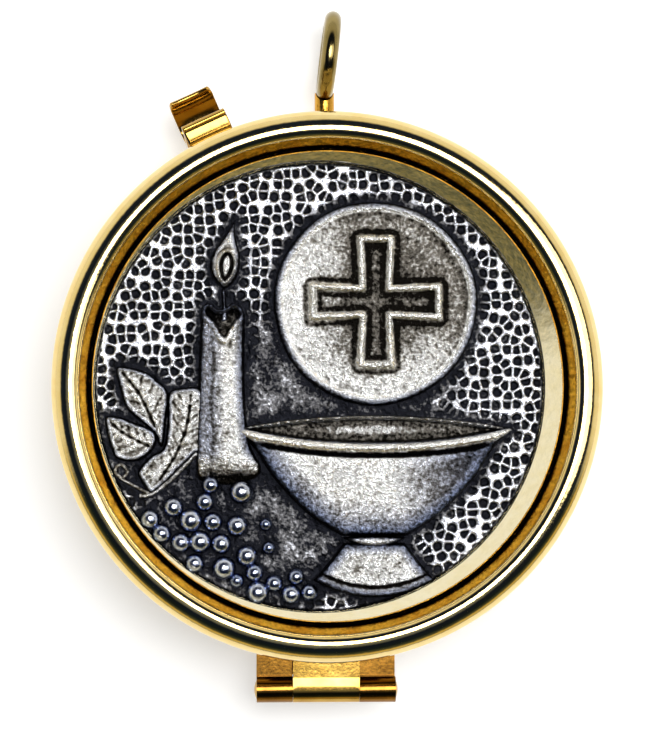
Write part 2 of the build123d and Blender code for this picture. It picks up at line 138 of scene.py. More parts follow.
def sweep(name, rings, material, sharp, closed=False, middles=()):
    # a skin over loops of equally many points: closed on itself, or capped at both ends by
    # the end loops or by fans to two middle points
    vertices = [tuple(p) for ring in rings for p in ring]
    count, last = len(rings[0]), (len(rings) - 1) * len(rings[0])
    faces = [face for k in range(len(rings) - 1)
             for face in band(k * count, (k + 1) * count, count)]
    if closed:
        faces += band(last, 0, count)
    for start, middle in zip((0, last), middles):
        vertices.append(middle)
        faces += [(len(vertices) - 1, start + k, start + (k + 1) % count) for k in range(count)]
    if not closed and not middles:
        faces += [tuple(range(count)), tuple(range(last + count - 1, last - 1, -1))]
    # faces that have shrunk to a line on the axis are left out
    faces = [face for face in faces if len({vertices[v] for v in face}) > 2]
    return sharpenBy(newObject(name, vertices, faces, material), sharp)


def around(count):
    return 2 * math.pi * np.arange(count) / count


def turned(point, angle):
    return (point[0] * math.cos(angle) - point[1] * math.sin(angle),
            point[0] * math.sin(angle) + point[1] * math.cos(angle))


def arc(centre, radius, start, end, count=12):
    # points on an arc in radius and height, angles in degrees from +R towards +Z
    angles = np.radians(np.linspace(start, end, count))
    return [(centre[0] + radius * math.cos(a), centre[1] + radius * math.sin(a)) for a in angles]


def lathe(name, profileAt, material, steps=288, sharp=35):
    # turns a closed profile of (radius, height) points about the case's axis; the profile is
    # a list, or a rule that gives the list for each angle
    rings = []
    for a in around(steps):
        profile = profileAt(a) if callable(profileAt) else profileAt
        rings.append([(r * math.cos(a) * mm, r * math.sin(a) * mm, z * mm) for r, z in profile])
    return sweep(name, rings, material, sharp, closed=True)


def smoothPath(points, perSpan=12, closed=False):
    # an evenly flowing curve through the points
    p = np.array(points, float)
    if closed:
        p = np.vstack([p[-1], p, p[0], p[1]])
    else:
        p = np.vstack([2 * p[0] - p[1], p, 2 * p[-1] - p[-2]])
    out = []
    for a, b, c, d in zip(p[:-3], p[1:-2], p[2:-1], p[3:]):
        for t in np.linspace(0, 1, perSpan, endpoint=False):
            out.append(0.5 * (2 * b + (c - a) * t + (2 * a - 5 * b + 4 * c - d) * t ** 2
                              + (3 * b - a - 3 * c + d) * t ** 3))
    if not closed:
        out.append(p[-2])
    return np.array(out)


def lengthAlong(line):
    return np.concatenate([[0], np.cumsum(np.hypot(*np.diff(line, axis=0).T))])


def pointsAlong(line, at):
    # the places on a line at these lengths from its start
    length = lengthAlong(line)
    return np.column_stack([np.interp(at, length, line[:, k]) for k in (0, 1)])


def headings(line):
    # the line's direction at each of its points
    ahead = np.gradient(line, axis=0)
    return ahead / np.hypot(*ahead.T)[:, None]


def distanceTo(line, x, y, closed=True):
    # shortest distance from each point to a line of points
    p = np.array(line, float)
    q = np.roll(p, -1, axis=0) if closed else p[1:]
    best = np.full(len(x), 1e9)
    for (ax, ay), (bx, by) in zip(p, q):
        dx, dy = bx - ax, by - ay
        t = limit(((x - ax) * dx + (y - ay) * dy) / max(dx * dx + dy * dy, 1e-12))
        best = np.minimum(best, np.hypot(x - ax - t * dx, y - ay - t * dy))
    return best


def inside(line, x, y):
    # even-odd test of points against a closed line
    p = np.array(line, float)
    hit = np.zeros(len(x), bool)
    for (ax, ay), (bx, by) in zip(p, np.roll(p, -1, axis=0)):
        if ay != by:
            crosses = (ay > y) != (by > y)
            hit ^= crosses & (x < (bx - ax) * (y - ay) / (by - ay) + ax)
    return hit


def signedDistance(line, x, y):
    d = distanceTo(line, x, y)
    return np.where(inside(line, x, y), d, -d)


def triangulate(outline, step):
    # triangles that follow the outline exactly and are even inside it
    line = np.vstack([outline, outline[:1]])
    total = lengthAlong(line)[-1]
    count = max(int(total / step), 8)
    outline = pointsAlong(line, np.linspace(0, total, count, endpoint=False))
    low, high = outline.min(0), outline.max(0)
    grid = []
    for k, gy in enumerate(np.arange(low[1], high[1], step * 0.866)):
        gx = np.arange(low[0] + (k % 2) * step / 2, high[0], step)
        grid.append(np.column_stack([gx, np.full(len(gx), gy)]))
    grid = np.vstack(grid)
    keep = signedDistance(outline, grid[:, 0], grid[:, 1]) > 0.55 * step
    points = [Vector(p) for p in np.vstack([outline, grid[keep]])]
    found = geometry.delaunay_2d_cdt(points, [], [list(range(count))], 1, 1e-6)
    return np.array([tuple(v) for v in found[0]]), [tuple(f) for f in found[2]], outline


def limit(value):
    return np.clip(value, 0, 1)


def fillet(d, width):
    # 0 at the outline, rising like a quarter round to 1 at this width
    return np.sqrt(1 - (1 - limit(d / width)) ** 2)


def bump(d, width):
    # a rounded ridge, 1 on its line and 0 from half its width outwards
    return np.cos(limit(np.abs(d) / (width / 2)) * math.pi / 2) ** 2


def waves(x, y, size, seed):
    # slow, hand-made unevenness, about -1 to 1
    rng = np.random.default_rng(seed)
    total = np.zeros(len(x))
    for _ in range(7):
        angle, phase = rng.uniform(0, 2 * math.pi, 2)
        k = 2 * math.pi / (size * rng.uniform(0.6, 1.6))
        total += np.sin(k * (x * math.cos(angle) + y * math.sin(angle)) + phase)
    return total / 4


def spread(values, faces, rounds):
    # the values evened out over their neighbours
    f = np.array(faces)
    a = np.concatenate([f[:, 0], f[:, 1], f[:, 2]])
    b = np.concatenate([f[:, 1], f[:, 2], f[:, 0]])
    count = np.bincount(a, minlength=len(values)) + np.bincount(b, minlength=len(values))
    for _ in range(rounds):
        total = np.bincount(a, values[b], len(values)) + np.bincount(b, values[a], len(values))
        values = total / np.maximum(count, 1)
    return values


print("helpers ready")

# Materials
maths, noise, remap = "ShaderNodeMath", "ShaderNodeTexNoise", "ShaderNodeMapRange"
mix, bumpNode, attribute = "ShaderNodeMix", "ShaderNodeBump", "ShaderNodeAttribute"
plus, minus, times, most = ({"operation": word}
                            for word in ("ADD", "SUBTRACT", "MULTIPLY", "MAXIMUM"))
clampedPlus = {"operation": "ADD", "use_clamp": True}
smoothstep = {"interpolation_type": "SMOOTHSTEP"}


def newMaterial(name):
    material = bpy.data.materials.new(name)
    material.use_nodes = True
    tree = material.node_tree
    tree.nodes.clear()
    shader = tree.nodes.new("ShaderNodeBsdfPrincipled")
    addNode(tree, "ShaderNodeOutputMaterial", None, shader)
    return material, tree, shader


# the last colour is a painted shade for the groove and the crease
giltSizes = {"grain": 0.30, "orangePeel": 0.9, "drift": 1.8, "tarnish": "#060301"}


def giltMetal(name, bright, deep, roughness, grain, peel, tarnished=False):
    # gold plate on brass: a warm metal whose colour deepens where the plate is thin
    material, tree, shader = newMaterial(name)
    place = addNode(tree, "ShaderNodeTexCoord").outputs["Object"]
    slow, fine, wide = (addNode(tree, noise, Vector=place, Scale=1000 / giltSizes[size],
                                Detail=detail)
                        for size, detail in (("drift", 3), ("grain", 2), ("orangePeel", 2)))
    colour = addNode(tree, mix, {"data_type": "RGBA"}, Factor=slow, A=hexColour(bright),
                     B=hexColour(deep))
    if tarnished:
        # brown-black painted shade for the dark groove and the crease, laid where the attribute
        # asks
        amount = addNode(tree, attribute, {"attribute_name": "tarnish"}).outputs["Fac"]
        broken = addNode(tree, remap, Value=fine, FromMin=0.3, FromMax=0.7, ToMin=-0.2,
                         ToMax=0.2)
        colour = addNode(tree, mix, {"data_type": "RGBA"}, A=colour,
                         B=hexColour(giltSizes["tarnish"]),
                         Factor=addNode(tree, maths, clampedPlus, amount, broken))
    rough = addNode(tree, remap, Value=fine, ToMin=roughness * 0.7, ToMax=roughness * 1.4)
    first = addNode(tree, bumpNode, Height=wide, Strength=1.0, Distance=peel * mm)
    second = addNode(tree, bumpNode, Height=fine, Strength=1.0, Distance=grain * mm,
                     Normal=first)
    plug(tree, shader, BaseColor=colour, Roughness=rough, Metallic=1.0, Normal=second)
    return material


# gold-plated brass, spun and polished on the lathe: mirror-like, with a faint orange peel
giltSpun = giltMetal("giltBrassSpunPolished", "#F3DFA6", "#E6C574", 0.09, 0.003, 0.012)
# the insides, left satin by the lathe's cloth
giltSatin = giltMetal("giltBrassSpunSatin", "#F3DFA6", "#E6C574", 0.30, 0.006, 0.01)
# gold-plated brass strip, bent and soldered: bright but less even in colour
giltStrip = giltMetal("giltBrassStripBent", "#CFAA56", "#9A7028", 0.12, 0.003, 0.004)
# the same strip made darker and browner: a painted shade for the lower hinge leaf
giltShaded = giltMetal("giltBrassStripPaintedShade", "#A17430", "#5A3812", 0.14, 0.003, 0.004)
# drawn wire of the cord ring, made darker and greyer: a painted shade for its dark reflections
giltWire = giltMetal("giltBrassWirePaintedShade", "#A8935C", "#6F6339", 0.13, 0.003, 0.006)
# gold-plated brass, cast: grainy, its colour wandering between bright and deep gold, with painted
# shade in the groove and at the crease
giltCast = giltMetal("giltBrassCastRough", "#FFCC48", "#B8690A", 0.32, 0.08, 0.2, True)
# the cast dish's wall, polished afterwards: its near-white colour is a painted highlight, with
# long soft streaks
giltDish = giltMetal("giltBrassCastPaintedHighlight", "#FFF9E2", "#F9EABA", 0.20, 0.003, 0.03)
# the turned post with solder run over it, gold-plated: soft-edged and browner
giltSolder = giltMetal("giltBrassSolderRun", "#E3B04A", "#A8701F", 0.22, 0.02, 0.09)
# epoxy, mixed and cured: a dull amber that only shows where the recess gapes
settingCement, _, shader = newMaterial("epoxyCementCured")
shader.inputs["Base Color"].default_value = hexColour("#4A3A22")
shader.inputs["Roughness"].default_value = 0.45

pits = {"unevenness": 0.62, "web": 0.12, "webReach": (0.5, 1.6), "round": (0.50, 0.38)}


def pitMask(tree, place, scale):
    # 1 in the bottom of each hammered pit, 0 on the webs between: rounded cells
    edge, centre = (addNode(tree, "ShaderNodeTexVoronoi",
                            {"voronoi_dimensions": "2D", "feature": feature}, Vector=place,
                            Scale=scale, Randomness=pits["unevenness"])
                    for feature in ("DISTANCE_TO_EDGE", "F1"))
    low, high = (pits["web"] * reach for reach in pits["webReach"])
    fromWeb = addNode(tree, remap, smoothstep, Value=edge, FromMin=low, FromMax=high)
    fromCentre = addNode(tree, remap, smoothstep, Value=centre, FromMin=pits["round"][0],
                         FromMax=pits["round"][1])
    return addNode(tree, maths, times, fromWeb, fromCentre)


plate = {"radius": 22.25, "face": 22.10, "x": -0.75, "y": 0.0, "ground": 12.5, "thickness": 1.0,
         "edge": 0.2, "step": 0.15, "pitch": 1.08, "depth": 0.36}
# the last colour is the painted blue, a painted reflection of the dark blue room
pewterSizes = {"blotch": 1.9, "grain": 0.32, "speck": 0.15, "film": "#4C69A6"}


def pewterMetal(name, dark, middle, bright, roughness, grain, pitted=False):
    # pewter, blackened and then rubbed bright on its high places, with painted highlight and shade
    # added on some figures: the polish attribute runs from 0 to 1, and so does the blue tint, a
    # painted reflection of the dark blue room on edges, flanks and shaded sides
    material, tree, shader = newMaterial(name)
    place = addNode(tree, "ShaderNodeTexCoord").outputs["Object"]
    polish, film, bare = (addNode(tree, attribute, {"attribute_name": word}).outputs["Fac"]
                          for word in ("polish", "film", "open"))
    uneven = []
    for size, detail, reach in (("grain", 3, 0.5), ("blotch", 2, 0.22 if pitted else 0.07),
                                ("speck", 2, 0.5)):
        texture = addNode(tree, noise, Vector=place, Scale=1000 / pewterSizes[size],
                          Detail=detail)
        uneven.append(addNode(tree, remap, Value=texture, FromMin=0.3, FromMax=0.7,
                              ToMin=-reach, ToMax=reach))
    height, blotch, speck = uneven
    if pitted:
        pit = addNode(tree, maths, times, pitMask(tree, place, 1000 / plate["pitch"]), 1.2)
        webs = addNode(tree, maths, times, addNode(tree, maths, minus, 1.0, pit), bare)
        rough = addNode(tree, maths, times, addNode(tree, maths, minus, 1.0, bare), polish)
        polish = addNode(tree, maths, clampedPlus, webs, rough)
    polish = addNode(tree, maths, minus, polish, addNode(tree, maths, times, film, 0.5))
    amount = addNode(tree, maths, clampedPlus, addNode(tree, maths, plus, polish, blotch),
                     addNode(tree, maths, times, height, 0.5))
    ramp = addNode(tree, "ShaderNodeValToRGB",
                   {"stops": ((0.15, dark), (0.5, middle), (0.90, bright))}, Fac=amount)
    colour = addNode(tree, mix, {"data_type": "RGBA", "blend_type": "MULTIPLY"}, Factor=film,
                     A=ramp, B=hexColour(pewterSizes["film"]))
    rough = addNode(tree, remap, Value=amount, ToMin=roughness[0], ToMax=roughness[1])
    sand = addNode(tree, maths, plus, height, addNode(tree, maths, times, speck, 0.5))
    relief = addNode(tree, bumpNode, Height=sand, Strength=1.0, Distance=grain * mm)
    plug(tree, shader, BaseColor=colour, Roughness=rough, Metallic=1.0, Normal=relief)
    return material


# cast pewter, oxidised black in the recesses, sand grain still on the raised figures
pewterFigure = pewterMetal("pewterCastOxidisedFigure", "#13110E", "#77726A", "#F5F5F3",
                           (0.40, 0.25), 0.08)
# the same casting's ground, where the hammered pits stay black and their webs are rubbed
pewterGround = pewterMetal("pewterCastOxidisedGround", "#1B1C21", "#6C6B6C", "#ECEEF6",
                           (0.42, 0.22), 0.05, True)
# grapes, rubbed all over: they mirror the room like beads; their navy dark colour is a painted
# reflection of the dark blue room
pewterGrape = pewterMetal("pewterRubbedBeads", "#2C3854", "#98A2B6", "#EFF2F7",
                          (0.24, 0.15), 0.012)
print("materials ready")

# Turned case
case = {
    "radius": 26.6, "sheet": 0.8, "corner": 2.2, "baseHeight": 8.7,
    "mouthHeight": 1.3, "mouthSkirt": 1.0, "mouthWidth": 2.0, "spigot": 0.7, "spigotIn": 1.2,
    "edge": 0.15, "lidBottom": 8.8, "lidWall": 11.5, "play": 0.25, "crest": 16.0,
    "outerArc": 1.85, "innerArc": 1.15, "crestRadius": 25.15, "creaseRadius": 24.4,
    "creaseFoot": 14.0, "flangeWidth": 1.0, "flangeBottom": 9.8, "flangeTop": 10.6,
    "floor": 11.4, "recess": 22.9, "boreFoot": 0.5, "lip": 14.85, "lipRound": 0.07,
    "grooveFloor": 14.25, "beadEnd": 141, "bevel": 0.78, "solder": 0.04,
}
# the rough slope from the bead down to the groove, and how much painted shade darkens it at each
# radius
grooveSlope = [(24.20, 15.48), (24.02, 15.33), (23.84, 15.19), (23.66, 15.05), (23.52, 14.9)]
grooveShade = [(22.9, 0.0), (23.02, 0.15), (23.05, 1.2), (23.47, 1.1), (23.56, 0.45),
                 (23.8, 0.1), (24.1, 0.05), (24.2, 0.5), (24.24, 0.0)]


def dressFaces(piece, material, wanted):
    # gives the faces that pass a test of their radius and height another finish
    piece.data.materials.append(material)
    slot = len(piece.data.materials) - 1
    for face in piece.data.polygons:
        if wanted(math.hypot(face.center.x, face.center.y) / mm, face.center.z / mm):
            face.material_index = slot


def makeCup():
    c = case
    turn, inner = c["radius"] - c["corner"], c["radius"] - c["sheet"]
    top = c["baseHeight"] - c["mouthHeight"]
    profile = [(0, c["sheet"]), (0, 0)] + [(r, 0) for r in np.linspace(4, turn - 1, 5)]
    profile += arc((turn, c["corner"]), c["corner"], -90, 0)
    profile += [(c["radius"], top - 0.05), (c["radius"] - 0.05, top), (inner, top)]
    profile += arc((turn, c["corner"]), c["corner"] - c["sheet"], 0, -90)
    cup = lathe("cupSpun", profile, giltSpun)
    dressFaces(cup, giltSatin, lambda r, z: z > c["sheet"] / 2 and r < inner + 0.01)
    finishPiece(cup, "base", "gilt_spun", "base_cup")


def makeMouthRing():
    c = case
    bore, spigot = c["radius"] - c["mouthWidth"], c["radius"] - c["spigotIn"]
    skirt = c["radius"] - c["sheet"] - c["solder"]
    shoulder, seam = c["baseHeight"] - c["mouthHeight"], c["baseHeight"]
    top, e = seam + c["spigot"], c["edge"]
    profile = [(bore, shoulder - c["mouthSkirt"]), (skirt, shoulder - c["mouthSkirt"]),
               (skirt, shoulder), (c["radius"], shoulder)]
    profile += arc((c["radius"] - e, seam - e), e, 0, 90, 5)
    profile += [(spigot, seam)] + arc((spigot - e, top - e), e, 0, 90, 5)
    profile += arc((bore + e, top - e), e, 90, 180, 5)
    ring = lathe("mouthRingTurned", profile, giltSpun)
    finishPiece(ring, "base", "gilt_spun", "base_mouth_ring")


def beadAngle(radius, arcRadius):
    # where the bead's arc reaches this radius, in degrees
    return math.degrees(math.acos((radius - case["crestRadius"]) / arcRadius))


def makeLidRing():
    c = case
    bore, flangeIn = c["radius"] - c["spigotIn"] + c["play"], c["creaseRadius"] - c["flangeWidth"]
    e, crest, inner, outer = c["edge"], c["crest"], c["innerArc"], c["outerArc"]
    profile = [(bore, c["lidBottom"]), (bore, c["flangeBottom"]), (flangeIn, c["flangeBottom"]),
               (flangeIn, c["flangeTop"]), (c["creaseRadius"], c["flangeTop"]),
               (c["creaseRadius"], c["creaseFoot"])]
    profile += arc((c["crestRadius"], crest - inner), inner,
                   beadAngle(c["creaseRadius"], inner), 90, 16)
    profile += arc((c["crestRadius"], crest - outer), outer, 90,
                   -beadAngle(c["radius"], outer), 28)[1:]
    profile += [(c["radius"], c["lidWall"])]
    profile += arc((c["radius"] - e, c["lidBottom"] + e), e, 0, -90, 5)
    ring = lathe("lidRimBead", profile, giltSpun, steps=360)
    finishPiece(ring, "lid", "gilt_spun", "lid_rim_ring")


def makeDish():
    c = case
    outer = c["creaseRadius"] - c["solder"]
    # its edge carries the bead's inner arc on, then the slope falls to the groove
    bead = arc((c["crestRadius"], c["crest"] - c["innerArc"]), c["innerArc"],
               beadAngle(outer, c["innerArc"]), c["beadEnd"], 3)
    low, lipOuter, lipTop = c["grooveFloor"], c["recess"] + 2 * c["lipRound"], c["lip"]
    slope = grooveSlope + [(23.46, low + 0.1), (23.34, low), (lipOuter + 0.10, low + 0.05),
                           (lipOuter, low + 0.2)]
    profile = [(0, c["floor"]), (0, c["flangeTop"]), (outer, c["flangeTop"])] + bead + slope
    profile += arc((c["recess"] + c["lipRound"], lipTop - c["lipRound"]), c["lipRound"], 0, 180,
                   9)

    def withBevel(angle):
        # the recess is bored where the plate lies, and bevelled evenly up to the lip
        along = plate["x"] * math.cos(angle) + plate["y"] * math.sin(angle)
        off = plate["x"] ** 2 + plate["y"] ** 2
        bore = along + math.sqrt((plate["face"] + c["solder"]) ** 2 - off + along ** 2)
        run, top = c["recess"] - bore, lipTop - c["lipRound"]
        bevel = [(c["recess"] - run * t, top - c["bevel"] * run * t)
                 for t in (0.25, 0.5, 0.75, 1.0)]
        return profile + bevel + [(bore, c["floor"] + c["boreFoot"]), (bore, c["floor"]),
                                  (18.0, c["floor"]), (9.0, c["floor"])]

    dish = lathe("lidDishCast", withBevel, giltCast, steps=360, sharp=38)
    reach = [math.hypot(v.co.x, v.co.y) / mm for v in dish.data.vertices]
    # painted shade: dark in the groove beside the lip, and a thin dark line at the crease
    setAttribute(dish, "tarnish", np.interp(reach, *zip(*grooveShade)))
    # the wall beside the plate takes the near-white gilt with its painted highlight, the bead's
    # inner end is polished, the inside left satin
    middle = (c["flangeTop"] + c["floor"]) / 2
    dressFaces(dish, giltDish, lambda r, z: r < c["recess"] + 0.02 and z > middle)
    dressFaces(dish, giltSpun, lambda r, z: r > bead[-1][0] - 0.03 and z > middle)
    dressFaces(dish, giltSatin, lambda r, z: z < middle)
    finishPiece(dish, "lid", "gilt_cast", "lid_dish")


makeCup()
makeMouthRing()
makeLidRing()
makeDish()
print("turned case ready")

# Medallion: its figures' places are shares of the plate's radius, or steps of a fine grid
raised = {"sink": 0.3, "step": 0.12, "gridStep": 0.0994, "gridCentre": (317.6, 385.75)}
outlines = []


def shares(points):
    return np.array(points, float) * plate["radius"]


def fromGrid(points):
    p = np.array(points, float) - raised["gridCentre"]
    return p * [1, -1] * raised["gridStep"]


def onPlate(points):
    # from the plate's own centre and ground to the object's place, in metres
    return (np.array(points) + [plate["x"], plate["y"], plate["ground"]]) * mm


def raiseFigure(name, outline, heightAt, step=raised["step"], rounds=30, scale=0.09, base=0.55,
                rubbingAndPaintedLight=None, film=0.6):
    # a raised figure over its outline; heightAt takes x, y and the distance to the outline.
    # High places among their neighbours are rubbed bright, low ones stay black; the extra rule
    # adds more of this and, on the host and the bowl, painted highlight and shade
    flat, faces, edge = triangulate(outline, step)
    outlines.append(edge)
    x, y = flat.T
    d = distanceTo(edge, x, y)
    z = heightAt(x, y, d)
    polish = limit(base + (z - spread(z, faces, rounds)) / scale)
    if rubbingAndPaintedLight:
        polish = limit(polish + rubbingAndPaintedLight(x, y, d))
    polish *= limit(0.2 + d / 0.28)
    count, rim = len(flat), len(edge)
    low = np.column_stack([flat[:rim], np.full(rim, -raised["sink"])])
    faces += band(0, count, rim) + [tuple(range(count, count + rim))]
    vertices = onPlate(np.vstack([np.column_stack([flat, z]), low]))
    piece = newObject(name, vertices, faces, pewterFigure)
    setAttribute(piece, "polish", np.concatenate([polish, np.zeros(rim)]))
    # the painted blue, a painted reflection of the dark blue room, is thick at the outline and
    # thins out over this width, or follows a rule
    blue = film(x, y, d) if callable(film) else limit(1 - d / film)
    setAttribute(piece, "film", np.concatenate([blue, np.ones(rim)]))
    sharpenBy(piece, 60)
    finishPiece(piece, "lid", "oxidised_pewter")


host = {"place": (0.246, 0.369, 0.453), "crown": 0.75, "side": 0.45,
        "border": (0.5, 1.2, 0.22), "arm": 6.2, "halfWidth": 1.3, "flare": 0.2,
        "crossUp": 0.1, "crossLine": 1.1, "crossRise": 0.36}


def crossDistance(x, y):
    # distance to the outline of a plain cross with slightly flared arms
    arm, half, flare = host["arm"], host["halfWidth"], host["flare"]
    corner = [(half, half), (arm, half + flare), (arm, -half - flare), (half, -half)]
    line = [turned(point, -k * math.pi / 2) for k in range(4) for point in corner]
    return distanceTo(line, x, y)


def makeHost():
    cx, cy, r = shares(host["place"])
    a = around(200)
    wobble = r * (1 + 0.006 * np.sin(3 * a + 1) + 0.004 * np.sin(7 * a))
    outline = np.column_stack([cx + wobble * np.cos(a), cy + wobble * np.sin(a)])
    inset, width, rise = host["border"]

    def height(x, y, d):
        far = np.hypot(x - cx, y - cy) / r
        z = host["side"] * fillet(d, 0.35) + (host["crown"] - host["side"]) * limit(1 - far ** 2)
        z += rise * bump(d - inset, width)
        ridge = crossDistance(x - cx, y - cy - host["crossUp"])
        z += host["crossRise"] * bump(ridge, host["crossLine"])
        return z + 0.03 * waves(x, y, 2.6, 3) + 0.02 * waves(x, y, 0.8, 4)

    def rubbingAndPaintedLight(x, y, d):
        # the border and the cross are bright and black lies beside them; the left and the lower
        # part of the face are lighter as painted highlight, and a patch just right of and above
        # the middle is darker as painted shade
        ridge = crossDistance(x - cx, y - cy - host["crossUp"])
        across, up = (x - cx) / r, (y - cy) / r
        hostPaintedLight = 0.55 * limit((-across - 0.25) / 0.6)
        hostPaintedLight += 0.45 * limit((-up - 0.35 + 0.2 * across) / 0.5)
        hostPaintedLight -= 0.22 * limit(1 - np.hypot(across - 0.15, up - 0.1) / 0.6)
        return (bump(d - 0.55, 1.35) + 0.9 * bump(ridge, host["crossLine"])
                - 0.45 * bump(ridge - 0.78, 0.62) + hostPaintedLight)

    raiseFigure("hostDisc", outline, height, rounds=40, scale=0.22, base=0.5, rubbingAndPaintedLight=rubbingAndPaintedLight,
                film=0.8)


chalice = {"x": 0.239, "crown": 1.5, "side": 0.45, "tip": (0.621, -0.186), "back": -0.127,
           "front": -0.262, "bulge": 2.2, "hollow": 0.95,
           "flank": [(0.621, -0.186), (0.530, -0.273), (0.436, -0.414), (0.286, -0.568),
                     (0.141, -0.661)],
           "foot": [(0.135, -0.690), (0.200, -0.775), (0.268, -0.855)], "footBottom": -0.932,
           "collar": (-0.712, -0.661, 0.150)}


def makeBowl():
    c = chalice
    x0, back, front = shares((c["x"], c["back"], c["front"]))
    (wide, tipY), side = shares(c["tip"]), shares(c["flank"])
    t = np.linspace(-1, 1, 60)
    backRim = np.column_stack([wide * t, back + (tipY - back) * t ** 2])
    frontRim = np.column_stack([wide * t, front + (tipY - front) * np.abs(t) ** c["bulge"]])
    right = smoothPath(side, 14)
    outline = np.vstack([backRim, right[1:], (right[::-1] * [-1, 1])[:-1]])

    def rims(x, y):
        # how far above the front rim and below the back rim each point lies
        return (y - np.interp(x - x0, *frontRim.T), np.interp(x - x0, *backRim.T) - y)

    def height(x, y, d):
        over, under = rims(x, y)
        barrel = np.sqrt(limit(1 - np.abs((x - x0) / (wide * 1.02)) ** 2.4))
        down = limit((front - y) / (front - side[-1][1]))
        z = c["side"] + (c["crown"] - c["side"]) * barrel
        z = z * fillet(d, 0.5) * (1 - 0.18 * down ** 2)
        z -= c["hollow"] * limit(np.minimum(over - 0.15, under - 0.2) / 0.35) * barrel
        z += 0.24 * bump(over + 0.25, 0.95) * limit(barrel * 3)
        z -= 0.16 * bump(over + 1.05, 0.7) * barrel
        z += 0.10 * bump(0.15 - under, 0.5)
        return z + 0.02 * waves(x - x0, y, 2.2, 5) + 0.012 * waves(x - x0, y, 0.7, 6)

    def rubbingAndPaintedLight(x, y, d):
        over, under = rims(x, y)
        flank = limit(((x - x0) / wide - 0.15) / 0.5)
        mouth = limit(np.minimum(over - 0.3, under - 0.3) / 0.3)
        # the second term is a painted highlight on the body below the rim, weaker towards the
        # right side, which stays darker as painted shade
        return (0.91 * bump(over + 0.25, 0.8) + limit((-over - 0.6) / 0.8) * (0.33 - 0.19 * flank)
                + 0.28 * mouth)

    def film(x, y, d):
        over = rims(x, y)[0]
        # painted blue: near the outline, over the right side and the lower part as painted shade,
        # and in bands beside the rim
        blue = np.maximum(limit(1 - d / 2.8), 0.75 * limit(((x - x0) / wide - 0.1) / 0.6))
        blue = np.maximum(blue, limit((side[3][1] + 1.6 - y) / 3.0) * 0.5)
        beside = 0.9 * bump(over + 0.95, 0.8) + 0.8 * bump(over - 0.25, 0.4)
        return np.maximum(blue * limit((-over - 0.5) / 0.4), limit(beside))

    raiseFigure("chaliceBowl", outline + [x0, 0], height, scale=0.12, rubbingAndPaintedLight=rubbingAndPaintedLight, film=film)


def makeFoot():
    # a flared skirt with a rolled edge, and a collar above it
    x0, bottom = shares((chalice["x"], chalice["footBottom"]))
    foot = shares(chalice["foot"])
    right = smoothPath(foot, 12)
    u = np.linspace(1, -1, 40)
    lower = np.column_stack([foot[-1][0] * u, bottom + (foot[-1][1] - bottom) * u ** 2])
    outline = np.vstack([right, lower[1:], (right[::-1] * [-1, 1])[1:]])

    def height(x, y, d):
        x = x - x0
        flare = np.interp(-y, -foot[:, 1], foot[:, 0])
        barrel = np.sqrt(limit(1 - (x / (flare * 1.1)) ** 2))
        z = (0.5 + 0.75 * barrel) * fillet(d, 0.4)
        edge = bottom + (foot[-1][1] - bottom) * (x / foot[-1][0]) ** 2
        z += 0.22 * bump(y - edge - 0.4, 0.8) - 0.14 * bump(y - edge - 1.05, 0.6)
        return z + 0.02 * waves(x, y, 1.6, 8)

    raiseFigure("chaliceFoot", outline + [x0, 0], height, rounds=26, scale=0.1, base=0.72,
                film=1.3)
    low, high, half = shares(chalice["collar"])
    v = np.linspace(-1, 1, 30)
    collar = np.vstack([np.column_stack([half * v, high - 0.25 * v ** 2 + 0.1]),
                        np.column_stack([half * v[::-1], low + (high - low) * v ** 2])[1:-1]])
    raiseFigure("chaliceCollar", collar + [x0, 0],
                lambda x, y, d: 1.25 * fillet(d, 0.5) + 0.2 * fillet(d, 0.3), scale=0.1)


candle = {"x": -0.432, "half": 0.102, "top": 0.377, "low": -0.395, "crown": 1.2, "side": 0.35,
          "back": [(199.6, 312), (202.5, 305.5), (210, 304), (216, 309), (224, 308),
                   (231, 303.5), (239, 306.5), (243.4, 315)],
          "front": [(199.6, 312), (204, 318), (212, 326), (219, 338), (224.5, 341), (229, 333),
                    (236, 323.5), (243.4, 315)],
          "flame": [(222, 289), (212, 279), (208.5, 266), (212, 253), (220, 241),
                    (227.5, 230), (233.5, 221), (233.5, 232), (235.5, 244), (238.5, 256),
                    (237.5, 272), (231, 284)],
          "heart": [(223, 284), (217, 273), (218, 259), (226, 252), (233, 259), (232, 273)],
          "wickX": -0.427, "wick": [(-0.32, 0.285), (-0.12, 0.345), (-0.2, 0.425), (0.2, 0.425),
                                    (0.32, 0.345), (0.45, 0.29)]}


